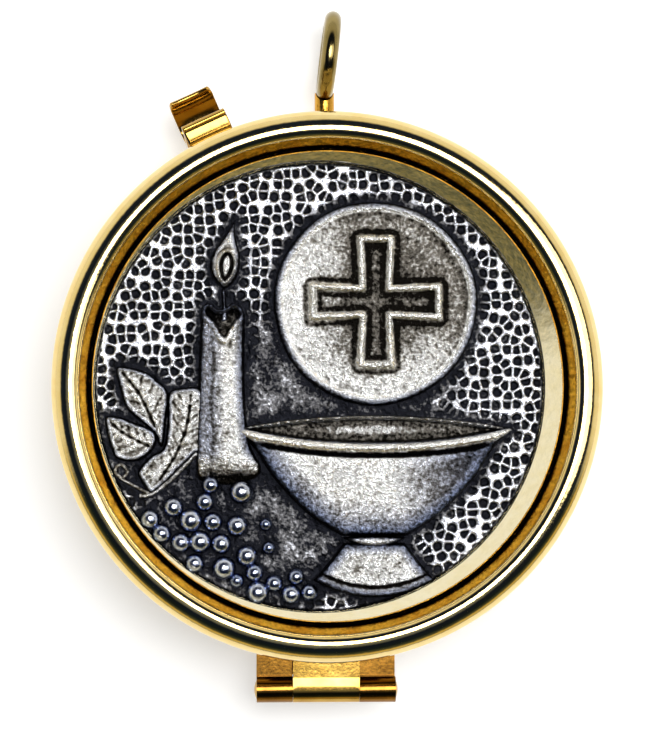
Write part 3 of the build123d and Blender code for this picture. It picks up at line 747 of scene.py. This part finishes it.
def makeCandle():
    c = candle
    x0, half, top, low, wickX = shares([c[key] for key in ("x", "half", "top", "low", "wickX")])
    # the melted top: the back of its rim, and the front lip that dips to a notch
    back, front = (smoothPath(fromGrid(c[key]), 8) - [x0, 0] for key in ("back", "front"))
    left = smoothPath([(0.4, low - 0.9), (-1.4, low - 0.6), (-half * 1.1, low + 0.6),
                       (-half * 1.04, (top + low) / 2), tuple(back[0])], 16)
    right = smoothPath([tuple(back[-1]), (half * 0.98, (top + low) / 2), (2.7, -5.4),
                        (3.8, low + 0.9), (3.4, low - 0.1), (2.0, low - 0.75)], 16)
    outline = np.vstack([left, back[1:-1], right])

    def height(x, y, d):
        x = x - x0
        wide = np.interp(y, [low, -5.4, (top + low) / 2, top], [3.7, 2.9, half, half])
        barrel = np.sqrt(limit(1 - (x / (wide * 1.05)) ** 2))
        z = c["side"] + (c["crown"] - c["side"]) * barrel
        z = z * fillet(d, 0.4) * (1 - 0.85 * limit((low + 2.4 - y) / 2.8) ** 2)
        lip = np.interp(x, *front.T)
        rim = np.minimum(distanceTo(front, x, y, closed=False), d + (y < lip - 0.3) * 9)
        z += 0.16 * bump(rim - 0.12, 0.6)
        z -= 0.75 * limit((y - lip - 0.2) / 0.35) * limit((d - 0.3) / 0.35)
        drip = bump(x - half * 0.55 - 0.12 * np.sin(y * 1.3), 0.8)
        z += 0.22 * drip * limit((y - top + 5.2) / 1.2)
        z -= 0.03 * bump(x + half * 0.42 - 0.15 * np.sin(y * 0.9), 0.6)
        return z + 0.035 * waves(x, y, 2.0, 11) + 0.015 * waves(x, y, 0.7, 12)

    def rubbingAndPaintedLight(x, y, d):
        # its foot sinks into the black ground
        return 0.20 - 0.75 * limit((low + 1.5 - y) / 1.9)

    def film(x, y, d):
        # painted blue: near the outline, and over the left side as painted shade; it fades out at
        # the foot
        shaded = 0.5 * limit((half * 0.1 - (x - x0)) / (half * 0.5))
        return np.maximum(limit(1 - d / 1.2), shaded) * limit((y - low - 0.8) / 1.5)

    raiseFigure("candleStick", outline + [x0, 0], height, rounds=26, scale=0.13, base=0.52,
                rubbingAndPaintedLight=rubbingAndPaintedLight, film=film)
    flame, heart = (smoothPath(fromGrid(c[key]), 10, closed=True) for key in ("flame", "heart"))

    def flameHeight(x, y, d):
        within = signedDistance(heart, x, y)
        z = 0.62 * fillet(d, 0.5) + 0.14 * limit(d / 1.2) + 0.20 * bump(within, 0.5)
        z -= 0.26 * limit(within / 0.25) * (1 - limit((within - 0.35) / 0.25))
        return z + 0.015 * waves(x, y, 0.8, 14)

    raiseFigure("candleFlame", flame, flameHeight, step=0.08, rounds=20, scale=0.1)
    wick = smoothPath([(wickX + off, up * plate["radius"]) for off, up in c["wick"]], 8,
                      closed=True)
    raiseFigure("candleWick", wick, lambda x, y, d: 0.62 * fillet(d, 0.3), step=0.08,
                rounds=14, scale=0.1)


veins = {"turn": math.radians(48), "length": 2.4, "middle": (0.13, 0.55), "side": (0.05, 0.5)}
leaves = {
    "leafUpper": {"outline": [(117.5, 367), (142.8, 370.6), (156, 379), (168, 393), (166, 420),
                              (162, 446), (152, 431), (136, 417), (126, 407), (120, 388)],
                  "vein": [(158, 438), (150, 415), (138, 392), (123, 373)], "ribs": 5},
    "leafLower": {"outline": [(106.5, 416), (120, 416), (133, 421), (149, 427), (157, 436),
                              (152, 450), (137, 460), (118, 458), (112, 448), (107, 431)],
                  "vein": [(153, 447), (138, 440), (122, 431), (110, 420)], "ribs": 5},
    "leafInner": {"outline": [(168, 393), (184, 387), (201, 390), (203, 420), (202, 450),
                              (194.5, 453), (178, 469), (165, 482), (151.5, 491.6), (143, 482),
                              (138, 470), (150, 455), (163, 446), (167, 420)],
                  "vein": [(160, 478), (176, 452), (186, 425), (190, 396)], "ribs": 6},
}


def makeLeaf(name, leaf):
    outline = smoothPath(fromGrid(leaf["outline"]), 10, closed=True)
    vein = smoothPath(fromGrid(leaf["vein"]), 8)
    ribs = []
    for k in range(leaf["ribs"]):
        at = lengthAlong(vein)[-1] * (k + 0.6) / (leaf["ribs"] + 0.4)
        base, ahead = pointsAlong(vein, [at, at + 0.3])
        ahead = (ahead - base) / max(np.hypot(*(ahead - base)), 1e-6)
        ribs += [[base, base + np.array(turned(ahead, turn)) * veins["length"]]
                 for turn in (-veins["turn"], veins["turn"])]

    def height(x, y, d):
        z = 0.55 * fillet(d, 0.5) + 0.28 * limit(d / 1.6) + 0.14 * bump(d - 0.3, 0.6)
        for line, (depth, width) in [(vein, veins["middle"])] + [(r, veins["side"]) for r in ribs]:
            z -= depth * bump(distanceTo(line, x, y, closed=False), width)
        return z + 0.05 * waves(x, y, 1.7, 21) + 0.02 * waves(x, y, 0.7, 22)

    raiseFigure(name, outline, height, step=0.1, rounds=18, scale=0.13, base=0.62)


stems = {"sides": 10, "up": 0.22, "lines": {
    "vineStem": (0.24, [(196, 452), (182, 466), (168, 480), (152, 492), (140, 494)]),
    "vineTendril": (0.16, [(150, 492), (136, 485), (124, 478), (116, 470), (121, 463),
                           (128, 470), (122, 478)])}}


def makeStem(name, radius, path):
    line = smoothPath(fromGrid(path), 10)
    rings = [onPlate([(x - ay * radius * math.cos(a), y + ax * radius * math.cos(a),
                       stems["up"] + radius * math.sin(a)) for a in around(stems["sides"])])
             for (x, y), (ax, ay) in zip(line, headings(line))]
    piece = sweep(name, rings, pewterFigure, 60)
    height = np.array([v.co.z for v in piece.data.vertices]) / mm - plate["ground"]
    setAttribute(piece, "polish", limit(height / 0.5) * 0.75)
    finishPiece(piece, "lid", "oxidised_pewter")
    outlines.append(line)


def newTree(name, **inputs):
    # a Geometry Nodes tree with a mesh going in and out, and these numbers to set
    tree = bpy.data.node_groups.new(name, "GeometryNodeTree")
    tree.interface.new_socket("Geometry", in_out="INPUT", socket_type="NodeSocketGeometry")
    for key, value in inputs.items():
        kind = "NodeSocketInt" if isinstance(value, int) else "NodeSocketFloat"
        tree.interface.new_socket(key, in_out="INPUT", socket_type=kind).default_value = value
    tree.interface.new_socket("Geometry", in_out="OUTPUT", socket_type="NodeSocketGeometry")
    return tree, tree.nodes.new("NodeGroupInput")


def bakeNodes(piece, tree, geometryNode, material, inputs):
    # realizes and dresses the tree's result, sets its inputs by identifier and bakes it
    solid = addNode(tree, "GeometryNodeRealizeInstances", None, geometryNode)
    dressed = addNode(tree, "GeometryNodeSetMaterial", Geometry=solid, Material=material)
    addNode(tree, "NodeGroupOutput", None, dressed)
    modifier = piece.modifiers.new(tree.name, "NODES")
    modifier.node_group = tree
    for item in tree.interface.items_tree:
        if item.item_type == "SOCKET" and item.in_out == "INPUT" and item.name in inputs:
            modifier[item.identifier] = inputs[item.name]
    withoutModifier(piece, modifier)


grapes = {"sink": 0.1, "scale": 1.18, "subdivisions": 4, "shares": [
    (-0.483, -0.435, 0.034), (-0.347, -0.466, 0.045), (-0.508, -0.510, 0.036),
    (-0.646, -0.533, 0.039), (-0.749, -0.586, 0.039), (-0.570, -0.591, 0.045),
    (-0.472, -0.598, 0.037), (-0.365, -0.615, 0.041), (-0.239, -0.609, 0.025),
    (-0.697, -0.649, 0.038), (-0.613, -0.689, 0.039), (-0.528, -0.685, 0.043),
    (-0.436, -0.694, 0.039), (-0.226, -0.712, 0.025), (-0.322, -0.747, 0.041),
    (-0.552, -0.781, 0.038), (-0.423, -0.801, 0.045), (-0.289, -0.821, 0.035),
    (-0.367, -0.857, 0.029), (-0.202, -0.868, 0.034), (-0.275, -0.908, 0.044),
    (-0.105, -0.839, 0.032), (-0.128, -0.917, 0.038), (-0.047, -0.908, 0.033)]}


def makeGrapes():
    # Geometry Nodes set one small ball on each point of the cluster
    places = shares(grapes["shares"])
    piece = newObject("grapeCluster", onPlate([(x, y, grapes["sink"]) for x, y, _ in places]),
                      [], pewterFigure)
    setAttribute(piece, "ballRadius", places[:, 2] * mm)
    tree, start = newTree("grapesOnPoints", Scale=1.0, Subdivisions=4)
    ball = addNode(tree, "GeometryNodeMeshIcoSphere", Radius=1.0,
                   Subdivisions=start.outputs["Subdivisions"])
    soft = addNode(tree, "GeometryNodeSetShadeSmooth", Geometry=ball)
    radius = addNode(tree, "GeometryNodeInputNamedAttribute", {"data_type": "FLOAT"},
                     Name="ballRadius")
    onPoints = addNode(tree, "GeometryNodeInstanceOnPoints", Points=start.outputs["Geometry"],
                       Instance=soft,
                       Scale=addNode(tree, maths, times, radius, start.outputs["Scale"]))
    bakeNodes(piece, tree, onPoints, pewterGrape,
              {"Scale": grapes["scale"], "Subdivisions": grapes["subdivisions"]})
    z = np.array([v.co.z for v in piece.data.vertices]) / mm - plate["ground"]
    setAttribute(piece, "polish", np.clip(0.6 + z / 1.1, 0, 1.05))
    # painted blue on the lower part of each ball, a painted reflection of the dark room
    setAttribute(piece, "film", limit(1.12 - z / 1.35))
    finishPiece(piece, "lid", "oxidised_pewter")


# rough, unpitted ground under the host, beside the candle and among the grapes: the middle
# and the reach of each quiet patch
quietPatches = [((3.7, -1.2), (8.8, 3.5)), ((-4.8, 0.5), (3.2, 6.0)), ((-6.5, -13), (9.5, 7.0))]


def makeGround():
    # the plate; Geometry Nodes press its hammered pits
    radius, face, under = plate["face"] - plate["edge"], plate["face"], -plate["thickness"]
    a = around(720)
    flat, faces, edge = triangulate(np.column_stack([radius * np.cos(a), radius * np.sin(a)]),
                                    plate["step"])
    x, y = flat.T
    near = np.full(len(x), 9.0)
    for line in outlines:
        near = np.minimum(near, np.where(inside(line, x, y), 0, distanceTo(line, x, y)))
    for gx, gy, gr in shares(grapes["shares"]):
        near = np.minimum(near, np.hypot(x - gx, y - gy) - gr)
    quiet = np.max([np.exp(-(((x - px) / rx) ** 2 + ((y - py) / ry) ** 2))
                    for (px, py), (rx, ry) in quietPatches], axis=0)
    bare = limit((near - 0.15) / 1.1) * (1 - limit(quiet * 1.5))
    rough = 0.06 * waves(x, y, 1.5, 31) + 0.05 * waves(x, y, 0.6, 32)
    z = (rough - 0.12) * (1 - bare)
    z[:len(edge)] = 0
    count, rim = len(flat), len(edge)
    b = np.arctan2(edge[:, 1], edge[:, 0])
    rings = [np.column_stack([r * np.cos(b), r * np.sin(b), np.full(rim, h)])
             for r, h in ((face, -plate["edge"]), (face, under + 0.25), (face - 0.25, under))]
    starts = [0] + [count + k * rim for k in range(3)]
    for upper, lower in zip(starts[:-1], starts[1:]):
        faces += band(upper, lower, rim)
    faces.append(tuple(range(starts[-1], starts[-1] + rim)))
    piece = newObject("medallionPlate", onPlate(np.vstack([np.column_stack([flat, z])] + rings)),
                      faces, pewterGround)
    # the black stays thick in the moat round every figure
    for name, values in (("open", bare * (np.hypot(x, y) < radius - 0.1)),
                         ("polish", limit(near - 0.25) * 0.34)):
        setAttribute(piece, name, np.concatenate([values, np.zeros(3 * rim)]))
    sharpenBy(piece, 50)
    tree, start = newTree("hammeredGround", Pitch=0.001, Depth=0.3)
    openness = addNode(tree, "GeometryNodeInputNamedAttribute", {"data_type": "FLOAT"},
                       Name="open")
    pit = pitMask(tree, tree.nodes.new("GeometryNodeInputPosition"),
                  addNode(tree, maths, {"operation": "DIVIDE"}, 1.0, start.outputs["Pitch"]))
    deep = addNode(tree, maths, times,
                   addNode(tree, maths, times, pit, start.outputs["Depth"]),
                   addNode(tree, maths, times, openness, -mm))
    moved = addNode(tree, "GeometryNodeSetPosition", Geometry=start.outputs["Geometry"],
                    Offset=addNode(tree, "ShaderNodeCombineXYZ", Z=deep))
    bakeNodes(piece, tree, moved, pewterGround,
              {"Pitch": plate["pitch"] * mm, "Depth": plate["depth"]})
    finishPiece(piece, "lid", "oxidised_pewter", "medallion")


makeHost()
makeBowl()
makeFoot()
makeCandle()
for name, leaf in leaves.items():
    makeLeaf(name, leaf)
for name, (radius, path) in stems["lines"].items():
    makeStem(name, radius, path)
print("figures ready")
makeGrapes()
makeGround()
print("medallion ready")

# Metal fittings
fittings = {"wire": 0.85, "ringRadius": 3.8, "footY": 30.15, "ringZ": 4.9, "lean": -6.5,
            "postRadius": 1.0, "postFoot": 1.6, "postFootEdge": 26.75, "postFootTop": 27.6,
            "caseWall": 26.64, "saddle": 0.89}


def makeBailRing():
    f = fittings
    lean = Matrix.Rotation(math.radians(f["lean"]), 3, "Z")
    rings = []
    for a in around(160):
        reach = [(f["ringRadius"] + f["wire"] * math.cos(b), f["wire"] * math.sin(b))
                 for b in around(40)]
        ring = [Vector((side, f["ringRadius"] - r * math.cos(a), r * math.sin(a)))
                for r, side in reach]
        rings.append([(lean @ p + Vector((0, f["footY"], f["ringZ"]))) * mm for p in ring])
    finishPiece(sweep("cordRingBent", rings, giltWire, 60, closed=True), "base", "gilt_cast",
                "bail_ring")


def makeBailPost():
    # its flared foot lies on the case's wall, and its end is saddled on the ring's wire
    f = fittings
    rings = []
    for t in np.linspace(0, 1, 24):
        ring = []
        for b in around(64):
            low = math.sqrt(f["caseWall"] ** 2 - (f["postFoot"] * math.cos(b)) ** 2)
            across = f["postRadius"] * math.cos(b)
            high = f["footY"] - math.sqrt(max(f["saddle"] ** 2 - across ** 2, 0))
            y = low + (high - low) * t
            r = f["postFoot"] - (f["postFoot"] - f["postRadius"]) * fillet(
                y - f["postFootEdge"], f["postFootTop"] - f["postFootEdge"])
            ring.append((r * math.cos(b) * mm, y * mm, (f["ringZ"] + r * math.sin(b)) * mm))
        rings.append(ring)
    middles = [(0, y * mm, f["ringZ"] * mm) for y in (f["caseWall"], f["footY"] - f["saddle"])]
    finishPiece(sweep("cordRingPost", rings, giltSolder, 40, middles=middles), "base",
                "gilt_cast", "bail_post")


hingeCrown = {"width": 1.028, "top": 10.05, "crest": -29.7, "wall": -28.65, "fall": 0.10}


def crownTop(piece):
    # the upper leaf was hammered over the pin, so it steps down softly towards the wall
    h = hingeCrown
    work = bmesh.new()
    work.from_mesh(piece.data)
    for y in np.linspace(h["crest"], h["wall"], 12)[1:-1]:
        everything = work.verts[:] + work.edges[:] + work.faces[:]
        bmesh.ops.bisect_plane(work, geom=everything, plane_co=(0, y * mm, 0),
                               plane_no=(0, 1, 0))
    for vertex in work.verts:
        away = min((vertex.co.y / mm - h["crest"]) / (h["wall"] - h["crest"]), 1)
        if abs(vertex.co.z / mm - h["top"]) < 0.002 and away > 0:
            vertex.co.z -= h["fall"] * (3 - 2 * away) * away ** 2 * mm
    work.to_mesh(piece.data)
    work.free()


def smoothFitting(node, name, material, body, width=1.0, crown=False):
    # the fitting's own shape with its bends shaded smooth and its sheared edges crisp, and
    # drawn a little wider where its gaps to its neighbours are too open
    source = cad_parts[node]
    mesh = source.data.copy()
    mesh.transform(Matrix.Diagonal((width, 1, 1, 1)) @ source.matrix_world)
    mesh.materials.clear()
    mesh.materials.append(material)
    piece = sharpenBy(addObject(name, mesh), 40)
    if crown:
        crownTop(piece)
    weight = piece.modifiers.new("weightedNormals", "WEIGHTED_NORMAL")
    weight.keep_sharp = True
    withoutModifier(piece, weight)
    finishPiece(piece, body, "gilt_strip", node)


catch = {"angle": 115.0, "width": 4.6, "thickness": 0.55, "wall": 26.64, "edge": 0.08,
         "pivot": (28.9, 12.3), "roll": 0.35, "rollHeading": -35.0, "seat": 0.325,
         "seatArc": (212, 138), "bend": (29.575, 6.95), "bendRadius": 1.6, "lipFrom": 262.0,
         "lipRadius": 2.9, "lipEnd": 32.38, "corner": 0.5, "dish": 0.25, "dishFrom": 29.4,
         "dishRun": 1.2, "dishBelow": 9, "tabFoot": 10.025, "tabFillet": 0.3, "crown": 0.42}


def catchPlace(reach, across, height):
    x, y = turned((reach, across), math.radians(catch["angle"]))
    return x * mm, y * mm, height * mm


def catchPath():
    # the strip's middle line: over the roll, down to the waist, and out to a lip that curls up
    c = catch
    heading, out = math.radians(c["rollHeading"]), math.radians(c["lipFrom"])
    roll = np.array(c["pivot"]) + c["roll"] * np.array([math.sin(heading), -math.cos(heading)])
    bend = np.array(c["bend"])
    apart = bend - roll
    off = math.acos((c["roll"] + c["bendRadius"]) / math.hypot(*apart))
    leave = math.degrees(math.atan2(apart[1], apart[0]) + off)
    lip = bend + (c["bendRadius"] - c["lipRadius"]) * np.array([math.cos(out), math.sin(out)])
    end = 360 - math.degrees(math.acos((c["lipEnd"] - lip[0]) / c["lipRadius"]))
    path = arc(roll, c["roll"], c["rollHeading"] + 90, leave, 14)
    path += arc(bend, c["bendRadius"], leave + 180, c["lipFrom"], 20)
    return np.array(path + arc(lip, c["lipRadius"], c["lipFrom"], end, 24)[1:])


def makeCatchLeaf():
    c = catch
    half, path = c["thickness"] / 2, catchPath()
    rows = [(place, ahead, half) for place, ahead in zip(path, headings(path))]
    # both ends are rounded off
    rounds = np.radians([15, 35, 55, 72, 86])
    start, end = ([(place + side * ahead * half * math.sin(a), ahead, half * math.cos(a))
                   for a in rounds]
                  for side, (place, ahead, _) in ((-1, rows[0]), (1, rows[-1])))
    rings = []
    for place, ahead, thick in start[::-1] + rows + end:
        up = np.array([-ahead[1], ahead[0]])
        into = max(place[0] - (end[-1][0][0] - c["corner"]), 0)
        wide = c["width"] / 2 - c["corner"] + math.sqrt(max(c["corner"] ** 2 - into ** 2, 0.01))
        e = min(c["edge"], thick)
        side = arc((wide - e, thick - e), e, 0, 90, 4)
        flat = [(y, thick) for y in np.linspace(wide - e, e - wide, 17)[1:-1]]
        top = side + flat + [(-y, t) for y, t in side[::-1]]
        # the lip is hollowed across as well, so that its ends curl up
        curl = c["dish"] * limit((place[0] - c["dishFrom"]) / c["dishRun"])
        curl *= place[1] < c["dishBelow"]
        ring = [(*(place + up * t), y) for y, t in top + [(-y, -t) for y, t in top]]
        rings.append([catchPlace(r, y, z + curl * abs(y / wide) ** 3) for r, z, y in ring])
    finishPiece(sweep("catchLeafSprung", rings, giltStrip, 50), "catch", "gilt_strip",
                "catch_leaf")


def makeCatchTab():
    # the strip's fixed end: a flange on the wall and an arm that rises to the roll
    c = catch
    wall, pivot, half, inner = c["wall"], c["pivot"], c["thickness"] / 2, c["tabFillet"]
    flange, tip, wide = wall + c["thickness"], pivot[0] - c["seat"], c["width"] / 2
    high, low = pivot[1] + half - 0.01, pivot[1] - half
    loop = [(wall, c["tabFoot"]), (flange, c["tabFoot"])]
    loop += arc((flange + inner, low - inner), inner, 180, 90, 6)
    loop += arc(pivot, c["seat"], *c["seatArc"], 8)
    loop = np.array(loop + [(r, high - c["crown"] * ((tip - r) / (tip - wall)) ** 2)
                            for r in np.linspace(tip, wall, 14)])
    way = np.roll(loop, -1, axis=0) - np.roll(loop, 1, axis=0)
    left = np.column_stack([-way[:, 1], way[:, 0]]) / np.hypot(*way.T)[:, None]
    inset = loop + left * c["edge"] * 0.7
    stations = [(-wide, inset), (c["edge"] - wide, loop)]
    stations += [(y, loop) for y in np.linspace(-wide * 0.9, wide * 0.9, 13)]
    stations += [(wide - c["edge"], loop), (wide, inset)]
    rings = [[catchPlace(math.sqrt(wall ** 2 - y ** 2) if r < wall + 0.01 else r, y, z)
              for r, z in points] for y, points in stations]
    finishPiece(sweep("catchTabSoldered", rings, giltStrip, 40), "lid", "gilt_strip",
                "catch_tab")


makeBailRing()
makeBailPost()
# the lower leaf takes the strip's darker copy, a painted shade
smoothFitting("base_hinge_leaf", "hingeLeafLower", giltShaded, "base")
smoothFitting("lid_hinge_leaf", "hingeLeafUpper", giltStrip, "lid", hingeCrown["width"], True)
smoothFitting("hinge_pin", "hingePinPeened", giltStrip, "base")
makeCatchTab()
makeCatchLeaf()
smoothFitting("catch_nib", "catchNibSoldered", giltStrip, "base")
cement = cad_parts["medallion_cement"]
cement.data.materials.clear()
cement.data.materials.append(settingCement)
print("fittings ready")

# Stage, light and camera
stage = {"floor": 1.2, "floorColour": "#F2F2F2", "floorGlow": 0.45}


def makeStage():
    # white paper: it keeps the shadow, and the eye and the metal see it a little brighter
    material, tree, shader = newMaterial("matteWhitePaper")
    half = stage["floor"] / 2
    floor = newObject("paleFloor", [(-half, -half, 0), (half, -half, 0), (half, half, 0),
                                    (-half, half, 0)], [(0, 1, 2, 3)], material)
    path = tree.nodes.new("ShaderNodeLightPath")
    seen = path.outputs["Is Camera Ray"]
    for ray in ("Is Glossy Ray", "Is Transmission Ray"):
        seen = addNode(tree, maths, most, seen, path.outputs[ray])
    glow = addNode(tree, maths, times, seen, stage["floorGlow"])
    plug(tree, shader, BaseColor=hexColour(stage["floorColour"]), Roughness=0.95,
         SpecularIORLevel=0.1, EmissionColor=(1.0, 1.0, 1.0, 1.0), EmissionStrength=glow)


lamps = {"overheadSoftbox": {"place": (0.03, 0.055, 0.42), "size": 0.21, "power": 0.98},
         "windowSoftbox": {"place": (0.20, 0.05, 0.36), "size": 0.24, "power": 0.36}}


def addLamp(name, plan):
    lamp = bpy.data.lights.new(name, "AREA")
    lamp.shape, lamp.size, lamp.energy = "DISK", plan["size"], plan["power"]
    holder = addObject(name, lamp)
    holder.location = plan["place"]
    holder.rotation_euler = (-Vector(plan["place"])).to_track_quat("-Z", "Y").to_euler()


# a dark blue room above; pale walls low behind the case, dim ones before it
room = {"turn": (-0.38, -0.08),
        "behind": ((0.0, "#FFFFFF"), (0.46, "#F3EEDF"), (0.60, "#1C2740")),
        "before": ((0.0, "#9A9A88"), (0.12, "#D6C690"), (0.26, "#C4AC68"), (0.36, "#4C5244"),
                   (0.60, "#18222A")),
        "above": ((0.90, "#0F1830"), (0.97, "#6E7685"), (1.0, "#8A93A3"))}


def makeWorld():
    world = bpy.data.worlds.new("softRoom")
    world.use_nodes = True
    bpy.context.scene.world = world
    tree = world.node_tree
    tree.nodes.clear()
    way = addNode(tree, "ShaderNodeTexCoord").outputs["Generated"]
    split = addNode(tree, "ShaderNodeSeparateXYZ", Vector=way)
    before, behind = (addNode(tree, "ShaderNodeValToRGB", {"stops": room[part] + room["above"]},
                              Fac=split.outputs["Z"]) for part in ("before", "behind"))
    share = addNode(tree, remap, smoothstep, Value=split.outputs["Y"], FromMin=room["turn"][0],
                    FromMax=room["turn"][1])
    colour = addNode(tree, mix, {"data_type": "RGBA"}, Factor=share, A=before, B=behind)
    light = addNode(tree, "ShaderNodeBackground", Color=colour, Strength=1.0)
    addNode(tree, "ShaderNodeOutputWorld", None, light)


view = {"distance": 240.0, "rimZ": 16.0, "leanX": -0.0436, "leanY": -0.0349,
        "aimX": -0.445, "aimY": 1.90, "height": 70.8, "sensor": 36.0}


def makeCamera():
    v = view
    camera = bpy.data.cameras.new("photoCamera")
    camera.sensor_width, camera.lens = v["sensor"], v["sensor"] * v["distance"] / v["height"]
    camera.clip_start = 0.01
    holder = addObject("photoCamera", camera)
    place = Vector((v["leanX"] * v["distance"], v["leanY"] * v["distance"],
                    v["rimZ"] + v["distance"])) * mm
    back = (place - Vector((v["aimX"], v["aimY"], v["rimZ"])) * mm).normalized()
    right = Vector((0, 1, 0)).cross(back).normalized()
    holder.location = place
    holder.rotation_euler = Matrix((right, back.cross(right), back)).transposed().to_euler()
    bpy.context.scene.camera = holder


makeStage()
makeWorld()
for name, plan in lamps.items():
    addLamp(name, plan)
makeCamera()
bpy.context.scene.view_settings.view_transform = "Standard"
print("stage ready")
